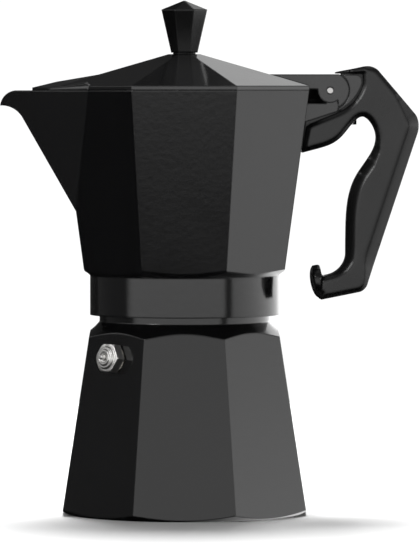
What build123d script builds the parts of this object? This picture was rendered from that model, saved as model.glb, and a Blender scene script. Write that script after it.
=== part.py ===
from build123d import *
import os
from math import atan, cos, pi, radians, sin, sqrt, tan

# A six-cup octagonal stovetop moka pot. Millimetres, +Z up, origin at the centre of the boiler's foot.
# +X points to the handle, -X to the spout.

# ---- driving dimensions --------------------------------------------------------------------------
# Octagons are given by their apothem, half the distance across the flats.
BOILER_FOOT_APOTHEM = 51.6
BOILER_TAPER = 0.1514  # apothem lost per millimetre of height
BOILER_SHOULDER_Z = 75.4
BOILER_WALL = 3.0
FOOT_BEVEL_H = 2.8
FOOT_BEVEL_W = 5.4

NECK_R = 36.0
NECK_Z = 81.3  # where the shoulder's flare meets the neck
NECK_BORE_R = 32.5
MOUTH_Z = 96.0
THREAD_PITCH = 2.6
THREAD_DEPTH = 0.8
THREAD_TURNS = 4

COLLAR_GAP = 2.8  # bare neck seen between the shoulder and the collar
COLLAR_R = 40.0
COLLAR_H = 16.7
THREAD_CLEARANCE = 0.3

BODY_FOOT_APOTHEM = 41.9
BODY_RIM_APOTHEM = 52.4
BODY_H = 78.3
BODY_WALL = 2.6
BODY_FLARE_W = 6.6
BODY_FLARE_H = 3.1

LID_BAND_H = 1.9
LID_RISE = 13.4
LID_TOP_APOTHEM = 6.7
LID_WALL = 2.0

KNOB_FOOT_APOTHEM = 5.6
KNOB_SHOULDER_APOTHEM = 9.7
KNOB_SHANK_H = 18.1
KNOB_PEAK_H = 3.8
KNOB_WASHER_T = 0.7
KNOB_SCREW_R = 2.0
KNOB_INSERT_R = 3.2
KNOB_INSERT_H = 9.0

VALVE_Z = 66.7
VALVE_SHANK_R = 4.0
VALVE_SHANK_L = 6.0
VALVE_HEX_ACROSS = 11.6
VALVE_HEX_T = 4.0
VALVE_COLLAR_R = 4.7
VALVE_COLLAR_T = 1.8
VALVE_WASHER_T = 0.8
VALVE_WASHER_R = 5.6
VALVE_CHAMBER_R = 2.8
VALVE_INLET_R = 1.6
VALVE_PIN_R = 1.1
VALVE_PIN_PROUD = 1.8
VALVE_TRAVEL = 1.2
VALVE_CAP_T = 1.0

BASKET_R = 31.8
BASKET_DEPTH = 21.1
FUNNEL_WALL = 0.9
FUNNEL_RIM_R = 35.2
FUNNEL_RIM_T = 0.8
FUNNEL_CONE_H = 5.6
STEM_R = 4.5
STEM_END_Z = 9.0
DISC_LEDGE = 1.5
DISC_T = 0.8
DISC_CLEARANCE = 0.1

GASKET_T = 3.2
GASKET_R = 35.9
GASKET_BORE_R = 28.5
FILTER_R = 32.0
FILTER_T = 0.8
FILTER_CLEARANCE = 0.3
HOLE_R = 0.8
HOLE_RING_STEP = 4.6
HOLE_RINGS = 5

COLUMN_SPIGOT_R = 6.0
COLUMN_FOOT_R = 7.5
COLUMN_TOP_R = 5.4
COLUMN_BORE_R = 4.2
COLUMN_H = 54.0
COLUMN_CAP_T = 2.5
COLUMN_SLOT_W = 3.4
COLUMN_SLOT_H = 7.0
FLOOR_T = 4.0
FLOOR_CONE_R = 34.0
FLOOR_CONE_H = 5.5
UNDERSIDE_R = 28.0
UNDERSIDE_H = 6.2

SPOUT_FOOT_Z = 128.3
SPOUT_REACH = 77.8
SPOUT_WALL = 2.1
SPOUT_CREASE_X = 39.9
SPOUT_TIP_DROP = 6.4

PIN_X = 61.6
PIN_Z_BELOW_RIM = 0.1
PIN_R = 1.25
PIN_CLEARANCE = 0.06
FORK_W = 15.0
WEB_W = 7.0
FORK_SIDE_GAP = 0.3
FORK_TOP = 6.9  # height of the fork's flat top above the pin
LOBE_R = 5.2
HEEL_R = 7.9
HEEL_GAP = 0.3
SLOT_START_X = 50.3

BLOCK_END_X = 74.9
SADDLE_GAP = 0.6
HANDLE_W = 18.0
HANDLE_NOSE_W = 6.8
HANDLE_REACH = 99.1
HANDLE_SCREW_R = 1.7
HANDLE_SCREW_HEAD_R = 3.1
HANDLE_SCREW_HEAD_T = 2.2
PAD_R = 7.0
PAD_T = 5.3

# ---- heights and places that follow --------------------------------------------------------------
EIGHTH = 22.5  # degrees from a flat's centre to its corner
CORNER = 1 / cos(radians(EIGHTH))  # corner radius of an octagon over its apothem
COLLAR_Z = NECK_Z + COLLAR_GAP
BODY_Z = COLLAR_Z + COLLAR_H
RIM_Z = BODY_Z + BODY_H
BAND_TOP_Z = RIM_Z + LID_BAND_H
LID_TOP_Z = BAND_TOP_Z + LID_RISE
KNOB_Z = LID_TOP_Z + KNOB_WASHER_T
SEAT_Z = MOUTH_Z + FUNNEL_RIM_T + GASKET_T  # underside of the collector's floor
FLOOR_Z = SEAT_Z + FLOOR_T
COLUMN_Z = FLOOR_Z + FLOOR_CONE_H
PIN_Z = RIM_Z - PIN_Z_BELOW_RIM
COLLAR_BORE_R = NECK_R + THREAD_CLEARANCE
LID_SLOPE = LID_RISE / (BODY_RIM_APOTHEM - LID_TOP_APOTHEM)
BODY_SLOPE = (BODY_RIM_APOTHEM - BODY_FOOT_APOTHEM) / BODY_H


def boiler_apothem(z):
    return BOILER_FOOT_APOTHEM - BOILER_TAPER * z


def body_apothem(z):
    return BODY_FOOT_APOTHEM + BODY_SLOPE * (z - BODY_Z)


def lid_height(x):
    """Height of the lid's outer face over a point x out from the axis, square to a flat."""
    return BAND_TOP_Z + LID_SLOPE * (BODY_RIM_APOTHEM - x)


def octagon(z, apothem):
    """An octagon with flats square to X and Y, in a level plane."""
    with BuildSketch(Plane.XY.offset(z)) as level:
        RegularPolygon(apothem, 8, major_radius=False, rotation=EIGHTH)
    return level.sketch


def side_outline(*points):
    """A closed straight-sided outline in the XZ plane, also used as a half profile to turn about Z."""
    with BuildSketch(Plane.XZ) as outline:
        with BuildLine():
            Polyline(*points, close=True)
        make_face()
    return outline.sketch


def finish(part, name):
    part.label = name
    export_step(part, f"parts/{name}.step")


os.makedirs("parts", exist_ok=True)

# ---- boiler --------------------------------------------------------------------------------------
# The valve screws into the front-left flat, square to the leaning wall.
VALVE_LEAN = atan(BOILER_TAPER)
VALVE_APOTHEM = boiler_apothem(VALVE_Z)
VALVE_PLANE = Plane(
    origin=(-VALVE_APOTHEM * sin(pi / 4), -VALVE_APOTHEM * sin(pi / 4), VALVE_Z),
    x_dir=(sin(pi / 4), -sin(pi / 4), 0),
    z_dir=(-sin(pi / 4) * cos(VALVE_LEAN), -sin(pi / 4) * cos(VALVE_LEAN), sin(VALVE_LEAN)),
)
SHOULDER_R = boiler_apothem(BOILER_SHOULDER_Z) * CORNER
FOOT_R = BOILER_FOOT_APOTHEM * CORNER
FLARE_SAG = 0.6

with BuildPart() as boiler:
    loft((octagon(0, BOILER_FOOT_APOTHEM), octagon(NECK_Z, boiler_apothem(NECK_Z))))
    with BuildSketch(Plane.XZ):
        with BuildLine():
            Polyline(
                (NECK_R, NECK_Z),
                (0, NECK_Z),
                (0, 0),
                (FOOT_R - FOOT_BEVEL_W, 0),
                (FOOT_R, FOOT_BEVEL_H),
                (FOOT_R, BOILER_SHOULDER_Z),
                (SHOULDER_R, BOILER_SHOULDER_Z),
            )
            SagittaArc((SHOULDER_R, BOILER_SHOULDER_Z), (NECK_R, NECK_Z), FLARE_SAG)
        make_face()
    revolve(axis=Axis.Z, mode=Mode.INTERSECT)
    with BuildSketch(Plane.XY.offset(BOILER_SHOULDER_Z)):
        Circle(NECK_R)
    extrude(amount=MOUTH_Z - BOILER_SHOULDER_Z)
    chamfer(boiler.edges().group_by(Axis.Z)[-1], THREAD_DEPTH)
    for turn in range(THREAD_TURNS):
        groove_z = MOUTH_Z - THREAD_PITCH * (turn + 0.75)
        groove = side_outline(
            (NECK_R + THREAD_DEPTH, groove_z - THREAD_PITCH * 0.75),
            (NECK_R - THREAD_DEPTH, groove_z),
            (NECK_R + THREAD_DEPTH, groove_z + THREAD_PITCH * 0.75),
        )
        revolve(groove, axis=Axis.Z, mode=Mode.SUBTRACT)
    loft(
        (
            octagon(BOILER_WALL, boiler_apothem(BOILER_WALL) - BOILER_WALL),
            octagon(BOILER_SHOULDER_Z - BOILER_WALL, boiler_apothem(BOILER_SHOULDER_Z) - BOILER_WALL),
        ),
        mode=Mode.SUBTRACT,
    )
    with BuildSketch(Plane.XY.offset(BOILER_SHOULDER_Z - 2 * BOILER_WALL)):
        Circle(NECK_BORE_R)
    extrude(amount=MOUTH_Z, mode=Mode.SUBTRACT)
    with BuildSketch(VALVE_PLANE.offset(BOILER_WALL)):
        Circle(VALVE_SHANK_R)
    extrude(amount=-4 * BOILER_WALL, mode=Mode.SUBTRACT)
finish(boiler.part, "boiler")

# ---- safety valve --------------------------------------------------------------------------------
HEX_BACK = VALVE_WASHER_T
HEX_FRONT = HEX_BACK + VALVE_HEX_T
VALVE_END = HEX_FRONT + VALVE_COLLAR_T
SEAT_DEPTH = -VALVE_SHANK_L / 2
PISTON_R = VALVE_CHAMBER_R - 0.3
PISTON_T = 2.0
SPRING_WIRE_R = 0.3
SPRING_R = (PISTON_R + VALVE_PIN_R) / 2
SPRING_L = VALVE_END - VALVE_CAP_T - SEAT_DEPTH - PISTON_T - VALVE_TRAVEL - 4 * SPRING_WIRE_R
SPRING_COILS = 5
CAP_R = VALVE_CHAMBER_R + 0.8

with BuildPart() as valve_washer:
    with BuildSketch(VALVE_PLANE):
        Circle(VALVE_WASHER_R)
        Circle(VALVE_SHANK_R, mode=Mode.SUBTRACT)
    extrude(amount=VALVE_WASHER_T)
finish(valve_washer.part, "valve_washer")

with BuildPart() as valve_body:
    with BuildSketch(VALVE_PLANE.offset(-VALVE_SHANK_L)):
        Circle(VALVE_SHANK_R)
    extrude(amount=VALVE_SHANK_L + HEX_BACK)
    with BuildSketch(VALVE_PLANE.offset(HEX_BACK)):
        RegularPolygon(VALVE_HEX_ACROSS / 2, 6, major_radius=False, rotation=30)
    extrude(amount=VALVE_HEX_T)
    with BuildSketch(VALVE_PLANE.offset(HEX_FRONT)):
        Circle(VALVE_COLLAR_R)
    extrude(amount=VALVE_COLLAR_T)
    with BuildSketch(VALVE_PLANE.offset(-VALVE_SHANK_L)):
        Circle(VALVE_INLET_R)
    extrude(amount=VALVE_SHANK_L, mode=Mode.SUBTRACT)
    with BuildSketch(VALVE_PLANE.offset(SEAT_DEPTH)):
        Circle(VALVE_CHAMBER_R)
    extrude(amount=VALVE_END - SEAT_DEPTH, mode=Mode.SUBTRACT)
    with BuildSketch(VALVE_PLANE.offset(VALVE_END - VALVE_CAP_T)):
        Circle(CAP_R)
    extrude(amount=VALVE_CAP_T, mode=Mode.SUBTRACT)
finish(valve_body.part, "valve_body")

with BuildPart() as valve_cap:
    with BuildSketch(VALVE_PLANE.offset(VALVE_END - VALVE_CAP_T)):
        Circle(CAP_R)
        Circle(VALVE_PIN_R + 0.2, mode=Mode.SUBTRACT)
    extrude(amount=VALVE_CAP_T)
finish(valve_cap.part, "valve_cap")

with BuildPart() as valve_poppet:
    with BuildSketch(VALVE_PLANE.offset(SEAT_DEPTH)):
        Circle(PISTON_R)
    extrude(amount=PISTON_T)
    with BuildSketch(VALVE_PLANE.offset(SEAT_DEPTH)):
        Circle(VALVE_PIN_R)
    extrude(amount=VALVE_END + VALVE_PIN_PROUD - SEAT_DEPTH)
    pin_end = valve_poppet.edges().sort_by(Axis(VALVE_PLANE.origin, VALVE_PLANE.z_dir))[-1]
    chamfer(pin_end, VALVE_PIN_R / 3)
finish(valve_poppet.part, "valve_poppet")

with BuildPart() as valve_spring:
    spring_foot = VALVE_PLANE.offset(SEAT_DEPTH + PISTON_T + SPRING_WIRE_R).origin
    with BuildLine():
        coil = Helix(SPRING_L / SPRING_COILS, SPRING_L, SPRING_R, spring_foot, VALVE_PLANE.z_dir)
    with BuildSketch(Plane(origin=coil @ 0, z_dir=coil % 0)):
        Circle(SPRING_WIRE_R)
    sweep(is_frenet=True)
finish(valve_spring.part, "valve_spring")

# ---- funnel, its disc and the filter plate -------------------------------------------------------
BASKET_FLOOR_Z = MOUTH_Z - BASKET_DEPTH
BASKET_BORE_R = BASKET_R - FUNNEL_WALL
STEM_BORE_R = STEM_R - FUNNEL_WALL
CONE_TIP_Z = BASKET_FLOOR_Z - FUNNEL_CONE_H

with BuildPart() as funnel:
    funnel_profile = side_outline(
        (FUNNEL_RIM_R, MOUTH_Z),
        (BASKET_R, MOUTH_Z),
        (BASKET_R, BASKET_FLOOR_Z - FUNNEL_WALL),
        (STEM_R, CONE_TIP_Z - FUNNEL_WALL),
        (STEM_R, STEM_END_Z),
        (STEM_BORE_R, STEM_END_Z),
        (STEM_BORE_R, CONE_TIP_Z),
        (BASKET_BORE_R - DISC_LEDGE, BASKET_FLOOR_Z),
        (BASKET_BORE_R, BASKET_FLOOR_Z),
        (BASKET_BORE_R, MOUTH_Z + FUNNEL_RIM_T),
        (FUNNEL_RIM_R, MOUTH_Z + FUNNEL_RIM_T),
    )
    revolve(funnel_profile, axis=Axis.Z)
finish(funnel.part, "funnel")

with BuildPart() as funnel_disc:
    with BuildSketch(Plane.XY.offset(BASKET_FLOOR_Z)):
        Circle(BASKET_BORE_R - DISC_CLEARANCE)
        Circle(HOLE_R, mode=Mode.SUBTRACT)
        for ring in range(1, HOLE_RINGS + 1):
            with PolarLocations(HOLE_RING_STEP * ring, 6 * ring):
                Circle(HOLE_R, mode=Mode.SUBTRACT)
    extrude(amount=DISC_T)
finish(funnel_disc.part, "funnel_disc")

with BuildPart() as filter_plate:
    with BuildSketch(Plane.XY.offset(SEAT_Z - FILTER_T)):
        Circle(FILTER_R)
        Circle(HOLE_R, mode=Mode.SUBTRACT)
        for ring in range(1, HOLE_RINGS + 1):
            with PolarLocations(HOLE_RING_STEP * ring, 6 * ring):
                Circle(HOLE_R, mode=Mode.SUBTRACT)
    extrude(amount=FILTER_T)
finish(filter_plate.part, "filter_plate")

with BuildPart() as gasket:
    gasket_profile = side_outline(
        (GASKET_BORE_R, SEAT_Z - GASKET_T),
        (GASKET_R, SEAT_Z - GASKET_T),
        (GASKET_R, SEAT_Z),
        (FILTER_R + FILTER_CLEARANCE, SEAT_Z),
        (FILTER_R + FILTER_CLEARANCE, SEAT_Z - FILTER_T),
        (GASKET_BORE_R, SEAT_Z - FILTER_T),
    )
    revolve(gasket_profile, axis=Axis.Z)
finish(gasket.part, "gasket")

# ---- collector -----------------------------------------------------------------------------------
# The spout is a prow: its sides start on the left flat and twist round to the line of the
# front-left and back-left flats at the rim, where they run on to a blunt nose.
PROW_SUM = BODY_RIM_APOTHEM / cos(pi / 4)  # |x| + |y| along the front-left flat at the rim
CREASE_Y = PROW_SUM - SPOUT_CREASE_X
NOSE_HALF_W = 5.5
NOSE_ROOT_X = PROW_SUM - NOSE_HALF_W
KEEL_TOP_X = 67.8
KEEL_TOP_Z = RIM_Z - 12.2
TIP_Z = RIM_Z - SPOUT_TIP_DROP
INSIDE_X = 25.0
INSIDE_Y = 12.0
TRIM_SPARE = 2.0  # how far a trimming outline runs past what it trims


def prow_corners(foot_z, inset):
    """Corners of the spout's wedge, drawn in by inset for the channel inside it."""
    foot_x = body_apothem(foot_z) - inset
    foot_y = foot_x * tan(radians(EIGHTH)) - inset
    grow = (RIM_Z - foot_z) / (RIM_Z - SPOUT_FOOT_Z)
    front = [
        (-foot_x, foot_y, foot_z),
        (inset * 0.4 - SPOUT_CREASE_X, CREASE_Y - inset, RIM_Z),
        (inset * 0.4 - NOSE_ROOT_X, NOSE_HALF_W - inset, RIM_Z),
        (-SPOUT_REACH - 6.5 * grow, NOSE_HALF_W * 0.85 - inset, RIM_Z),
        (-INSIDE_X, INSIDE_Y, foot_z),
        (-INSIDE_X, INSIDE_Y, RIM_Z),
    ]
    return [(x, side * y, z) for x, y, z in front for side in (-1, 1)]


def prow_side(drop, keel_shift):
    """The spout seen from the side: straight keel, hollow curve under the lip and, outside, the lip's rim."""
    foot_z = SPOUT_FOOT_Z + drop
    keel_top = (-KEEL_TOP_X + keel_shift, KEEL_TOP_Z + keel_shift * 0.4)
    keel_lean = (KEEL_TOP_X - body_apothem(foot_z)) / (keel_top[1] - foot_z)
    keel_foot = (keel_top[0] + keel_lean * (keel_top[1] - foot_z + TRIM_SPARE), foot_z - TRIM_SPARE)
    tip = (-SPOUT_REACH, TIP_Z + keel_shift)
    with BuildSketch(Plane.XZ) as outline:
        with BuildLine():
            Line(keel_foot, keel_top)
            ThreePointArc(keel_top, (-KEEL_TOP_X - 3.9 + keel_shift * 0.7, TIP_Z - 1.5 + keel_shift * 0.8), tip)
            if keel_shift:
                rim_start = (tip[0] - TRIM_SPARE, tip[1])
                Line(tip, rim_start)
            else:
                rim_start = (-SPOUT_REACH + 6.6, RIM_Z)
                ThreePointArc(tip, (-SPOUT_REACH + 2.4, RIM_Z - 1.8), rim_start)
            Polyline(
                rim_start,
                (rim_start[0], RIM_Z + TRIM_SPARE),
                (-INSIDE_X + TRIM_SPARE, RIM_Z + TRIM_SPARE),
                (-INSIDE_X + TRIM_SPARE, foot_z - TRIM_SPARE),
                keel_foot,
            )
        make_face()
    return outline.sketch


def prow_solid(drop, keel_shift, inset):
    """The spout's wedge trimmed to its side view."""
    with BuildPart() as wedge:
        ConvexPolyhedron(prow_corners(SPOUT_FOOT_Z + drop, inset))
        extrude(prow_side(drop, keel_shift), amount=BODY_RIM_APOTHEM, both=True, mode=Mode.INTERSECT)
    return wedge.part


# The bracket behind the body: a web between the fork's ears and a block behind them.
BLOCK_FORE = 3.4
BLOCK_DROP = 8.6
BLOCK_FOOT_X = PIN_X + BLOCK_FORE
BLOCK_FOOT_Z = PIN_Z - BLOCK_DROP
BLOCK_TOP_Z = PIN_Z + FORK_TOP - 0.2
BLOCK_MID = (BLOCK_FOOT_X + 5.4, BLOCK_FOOT_Z + 3.8)
BLOCK_HEEL = (BLOCK_END_X, PIN_Z + 2.6)
WEB_FOOT_Z = PIN_Z - 14.0
WEB_TOP_Z = PIN_Z - 5.4
KNUCKLE_R = LOBE_R - 0.3
HEEL_HOLLOW_R = HEEL_R + HEEL_GAP
BLOCK_CORNER_R = 2.4
# The block's front tip is cut back, so that the fork's flat top clears it with the lid thrown open.
TIP_RELIEF_X = 5.9
TIP_RELIEF_H = 1.0

BODY_FLARE_MID = (COLLAR_R + BODY_FLARE_W * 0.36, BODY_Z + BODY_FLARE_H * 0.58)
BODY_FLARE_END = (COLLAR_R + BODY_FLARE_W, BODY_Z + BODY_FLARE_H)
OUTSIDE_R = 2 * BODY_RIM_APOTHEM

with BuildPart() as collector:
    loft((octagon(BODY_Z, BODY_FOOT_APOTHEM), octagon(RIM_Z, BODY_RIM_APOTHEM)))
    with BuildSketch(Plane.XZ):
        with BuildLine():
            ThreePointArc((COLLAR_R, BODY_Z), BODY_FLARE_MID, BODY_FLARE_END)
            Polyline(
                BODY_FLARE_END,
                (OUTSIDE_R, BODY_FLARE_END[1]),
                (OUTSIDE_R, RIM_Z),
                (0, RIM_Z),
                (0, BODY_Z),
                (COLLAR_R, BODY_Z),
            )
        make_face()
    revolve(axis=Axis.Z, mode=Mode.INTERSECT)
    with BuildSketch(Plane.XY.offset(COLLAR_Z)):
        Circle(COLLAR_R)
    extrude(amount=COLLAR_H)
    add(prow_solid(0, 0, 0))
    # Hinge bracket.
    with BuildSketch(Plane.XZ):
        with BuildLine():
            Polyline(
                (body_apothem(WEB_FOOT_Z) - BODY_WALL / 2, WEB_FOOT_Z),
                (BLOCK_FOOT_X + 1, BLOCK_FOOT_Z),
                (BLOCK_FOOT_X + 4, WEB_TOP_Z),
                (body_apothem(WEB_TOP_Z) - BODY_WALL / 2, WEB_TOP_Z),
                close=True,
            )
        make_face()
        with Locations((PIN_X, PIN_Z)):
            Circle(KNUCKLE_R)
        with Locations((PIN_X + 1, PIN_Z - KNUCKLE_R)):
            Rectangle(KNUCKLE_R, KNUCKLE_R)
    extrude(amount=WEB_W / 2, both=True)
    with BuildSketch(Plane.XZ) as block:
        with BuildLine():
            Line((BLOCK_FOOT_X, BLOCK_FOOT_Z + 2), (BLOCK_FOOT_X, BLOCK_FOOT_Z))
            ThreePointArc((BLOCK_FOOT_X, BLOCK_FOOT_Z), BLOCK_MID, BLOCK_HEEL)
            Polyline(
                BLOCK_HEEL,
                (BLOCK_END_X, BLOCK_TOP_Z),
                (BLOCK_FOOT_X, BLOCK_TOP_Z),
                (BLOCK_FOOT_X, BLOCK_FOOT_Z + 2),
            )
        make_face()
        top_corner = block.vertices().group_by(Axis.Z)[-1].sort_by(Axis.X)[-1]
        fillet(top_corner, BLOCK_CORNER_R)
        with Locations((PIN_X, PIN_Z)):
            Circle(HEEL_HOLLOW_R, mode=Mode.SUBTRACT)
        with Locations((PIN_X, BLOCK_TOP_Z)):
            Rectangle(2 * TIP_RELIEF_X, 2 * TIP_RELIEF_H, mode=Mode.SUBTRACT)
    extrude(amount=FORK_W / 2, both=True)
    with BuildSketch(Plane.XZ):
        with Locations((PIN_X, PIN_Z)):
            Circle(PIN_R)
    extrude(amount=FORK_W, both=True, mode=Mode.SUBTRACT)
    # Chamber, with its floor rising to the column.
    loft(
        (
            octagon(FLOOR_Z, body_apothem(FLOOR_Z) - BODY_WALL),
            octagon(RIM_Z, BODY_RIM_APOTHEM - BODY_WALL),
        ),
        mode=Mode.SUBTRACT,
    )
    add(prow_solid(SPOUT_WALL * 1.4, SPOUT_WALL, SPOUT_WALL), mode=Mode.SUBTRACT)
    floor_hill = side_outline(
        (0, SEAT_Z), (FLOOR_CONE_R, SEAT_Z), (FLOOR_CONE_R, FLOOR_Z), (COLUMN_FOOT_R, COLUMN_Z), (0, COLUMN_Z)
    )
    revolve(floor_hill, axis=Axis.Z)
    # Threaded skirt, seat for the gasket, hollow under the floor and the column's seat.
    underside = side_outline(
        (0, COLLAR_Z),
        (COLLAR_BORE_R, COLLAR_Z),
        (COLLAR_BORE_R, SEAT_Z),
        (UNDERSIDE_R, SEAT_Z),
        (COLUMN_SPIGOT_R, SEAT_Z + UNDERSIDE_H),
        (COLUMN_SPIGOT_R, COLUMN_Z),
        (0, COLUMN_Z),
    )
    revolve(underside, axis=Axis.Z, mode=Mode.SUBTRACT)
    # Tapped hole for the handle's screw.
    HANDLE_SCREW_X = BLOCK_FOOT_X + 5.0
    with BuildSketch(Plane.XY.offset(BLOCK_FOOT_Z)):
        with Locations((HANDLE_SCREW_X, 0)):
            Circle(HANDLE_SCREW_R)
    extrude(amount=BLOCK_TOP_Z - BLOCK_FOOT_Z - 3, mode=Mode.SUBTRACT)
finish(collector.part, "collector")

with BuildPart() as column:
    SPIGOT_Z = SEAT_Z + UNDERSIDE_H
    COLUMN_TOP_Z = COLUMN_Z + COLUMN_H
    column_profile = side_outline(
        (COLUMN_BORE_R, SPIGOT_Z),
        (COLUMN_SPIGOT_R, SPIGOT_Z),
        (COLUMN_SPIGOT_R, COLUMN_Z),
        (COLUMN_FOOT_R, COLUMN_Z),
        (COLUMN_TOP_R, COLUMN_TOP_Z - COLUMN_CAP_T),
        (COLUMN_TOP_R / 2, COLUMN_TOP_Z),
        (0, COLUMN_TOP_Z),
        (0, COLUMN_TOP_Z - COLUMN_CAP_T),
        (COLUMN_BORE_R, COLUMN_TOP_Z - COLUMN_CAP_T),
    )
    revolve(column_profile, axis=Axis.Z)
    with BuildSketch(Plane.XY.offset(COLUMN_TOP_Z - COLUMN_CAP_T - COLUMN_SLOT_H)):
        Rectangle(COLUMN_SLOT_W, 3 * COLUMN_FOOT_R)
    extrude(amount=COLUMN_SLOT_H, mode=Mode.SUBTRACT)
finish(column.part, "column")

# ---- lid -----------------------------------------------------------------------------------------
GABLE_ROOT_X = 35.5
GABLE_BREAK_X = 54.1
GABLE_END_X = 64.4
GABLE_ROOT_Z = lid_height(GABLE_ROOT_X)
GABLE_BREAK_Z = RIM_Z + 3.7
GABLE_END_Z = RIM_Z + 1.2
GABLE_END_HALF_W = 1.6
EAVE_START_X = 42.2
EAVE_START_Z = RIM_Z + 2.8
EAVE_END_X = 57.4


def gable(inset):
    """Corners of the roof over the spout, drawn in by inset for the hollow under it."""
    line = PROW_SUM - inset / cos(pi / 4)
    floor = RIM_Z - inset * 0.01
    front = [
        (SPOUT_CREASE_X, line - SPOUT_CREASE_X, floor),
        (SPOUT_CREASE_X, line - SPOUT_CREASE_X, BAND_TOP_Z + 0.3 - inset),
        (EAVE_START_X, line - EAVE_START_X, EAVE_START_Z - inset),
        (EAVE_END_X - inset, line - EAVE_END_X + inset * 0.4, RIM_Z + 1.0 - inset * 0.4),
        (EAVE_END_X - inset, line - EAVE_END_X + inset * 0.4, floor),
    ]
    middle = [
        (GABLE_ROOT_X, 0, GABLE_ROOT_Z - inset),
        (GABLE_BREAK_X, 0, GABLE_BREAK_Z - inset),
        (GABLE_ROOT_X / 2, 0, floor),
    ]
    end = [
        (GABLE_END_X - 2 * inset, GABLE_END_HALF_W, GABLE_END_Z - inset * 0.5),
        (GABLE_END_X - 2 * inset, GABLE_END_HALF_W, floor),
    ]
    both = [(-x, side * y, z) for x, y, z in front + end for side in (-1, 1)]
    return both + [(-x, y, z) for x, y, z in middle]


with BuildPart() as lid:
    loft((octagon(BAND_TOP_Z, BODY_RIM_APOTHEM), octagon(LID_TOP_Z, LID_TOP_APOTHEM)))
    extrude(octagon(RIM_Z, BODY_RIM_APOTHEM), amount=LID_BAND_H)
    ConvexPolyhedron(gable(0))
    # Fork: a rib that runs back over the rim and splits into two ears round the pin.
    fork_start_x = BODY_RIM_APOTHEM - (PIN_Z + FORK_TOP - BAND_TOP_Z) / LID_SLOPE
    heel_top = (PIN_X + sqrt(HEEL_R**2 - FORK_TOP**2), PIN_Z + FORK_TOP)
    heel_foot = (BLOCK_FOOT_X, PIN_Z - sqrt(HEEL_R**2 - (BLOCK_FOOT_X - PIN_X) ** 2))
    lobe_end = (BLOCK_FOOT_X, PIN_Z - sqrt(LOBE_R**2 - (BLOCK_FOOT_X - PIN_X) ** 2))
    lobe_start = (PIN_X - sqrt(LOBE_R**2 - 0.6**2), PIN_Z + 0.6)
    with BuildSketch(Plane.XZ):
        with BuildLine():
            Line((fork_start_x, PIN_Z + FORK_TOP), heel_top)
            ThreePointArc(heel_top, (PIN_X + HEEL_R, PIN_Z), heel_foot)
            Line(heel_foot, lobe_end)
            ThreePointArc(lobe_end, (PIN_X - LOBE_R * sin(pi / 4), PIN_Z - LOBE_R * cos(pi / 4)), lobe_start)
            Polyline(
                lobe_start,
                (BODY_RIM_APOTHEM - LID_WALL / 4, PIN_Z + 0.6),
                (BODY_RIM_APOTHEM - LID_WALL / 4, BAND_TOP_Z - LID_WALL / 4),
                (fork_start_x, PIN_Z + FORK_TOP - LID_WALL),
                (fork_start_x, PIN_Z + FORK_TOP),
            )
        make_face()
    extrude(amount=FORK_W / 2, both=True)
    slot_w = WEB_W + 2 * FORK_SIDE_GAP
    slot_rear_x = PIN_X + 2 * HEEL_R
    with BuildSketch(Plane.XZ):
        with BuildLine():
            Polyline(
                (SLOT_START_X, PIN_Z + 2 * FORK_TOP),
                (SLOT_START_X, BAND_TOP_Z + LID_WALL / 3),
                (BODY_RIM_APOTHEM + 0.3, BAND_TOP_Z + LID_WALL / 3),
                (BODY_RIM_APOTHEM + 0.3, PIN_Z - 2 * HEEL_R),
                (slot_rear_x, PIN_Z - 2 * HEEL_R),
                (slot_rear_x, PIN_Z + 2 * FORK_TOP),
                close=True,
            )
        make_face()
    extrude(amount=slot_w / 2, both=True, mode=Mode.SUBTRACT)
    with BuildSketch(Plane.XZ):
        with Locations((PIN_X, PIN_Z)):
            Circle(PIN_R + PIN_CLEARANCE)
    extrude(amount=FORK_W, both=True, mode=Mode.SUBTRACT)
    # Hollow underside, with a boss left for the knob's screw.
    inner_rim = BODY_RIM_APOTHEM - BODY_WALL + 0.4
    loft(
        (
            octagon(RIM_Z, inner_rim),
            octagon(LID_TOP_Z - LID_WALL * 1.1, inner_rim - (LID_TOP_Z - LID_WALL * 1.1 - RIM_Z) / LID_SLOPE),
        ),
        mode=Mode.SUBTRACT,
    )
    ConvexPolyhedron(gable(LID_WALL), mode=Mode.SUBTRACT)
    BOSS_R = KNOB_SCREW_R + 3.0
    BOSS_Z = LID_TOP_Z - LID_WALL * 2
    with BuildSketch(Plane.XY.offset(BOSS_Z)):
        Circle(BOSS_R)
    extrude(amount=LID_WALL * 1.5)
    with BuildSketch(Plane.XY.offset(BOSS_Z)):
        Circle(KNOB_SCREW_R + 0.2)
    extrude(amount=LID_WALL * 3, mode=Mode.SUBTRACT)
finish(lid.part, "lid")

with BuildPart() as hinge_pin:
    with BuildSketch(Plane.XZ):
        with Locations((PIN_X, PIN_Z)):
            Circle(PIN_R)
    extrude(amount=FORK_W / 2, both=True)
finish(hinge_pin.part, "hinge_pin")

# ---- knob ----------------------------------------------------------------------------------------
SHOULDER_Z = KNOB_Z + KNOB_SHANK_H
PEAK_APOTHEM = 0.5

with BuildPart() as knob:
    loft((octagon(KNOB_Z, KNOB_FOOT_APOTHEM), octagon(SHOULDER_Z, KNOB_SHOULDER_APOTHEM)))
    loft((octagon(SHOULDER_Z, KNOB_SHOULDER_APOTHEM), octagon(SHOULDER_Z + KNOB_PEAK_H, PEAK_APOTHEM)))
    with BuildSketch(Plane.XY.offset(KNOB_Z)):
        Circle(KNOB_INSERT_R)
    extrude(amount=KNOB_INSERT_H, mode=Mode.SUBTRACT)
finish(knob.part, "knob")

with BuildPart() as knob_insert:
    with BuildSketch(Plane.XY.offset(KNOB_Z)):
        Circle(KNOB_INSERT_R)
        Circle(KNOB_SCREW_R, mode=Mode.SUBTRACT)
    extrude(amount=KNOB_INSERT_H)
finish(knob_insert.part, "knob_insert")

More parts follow.
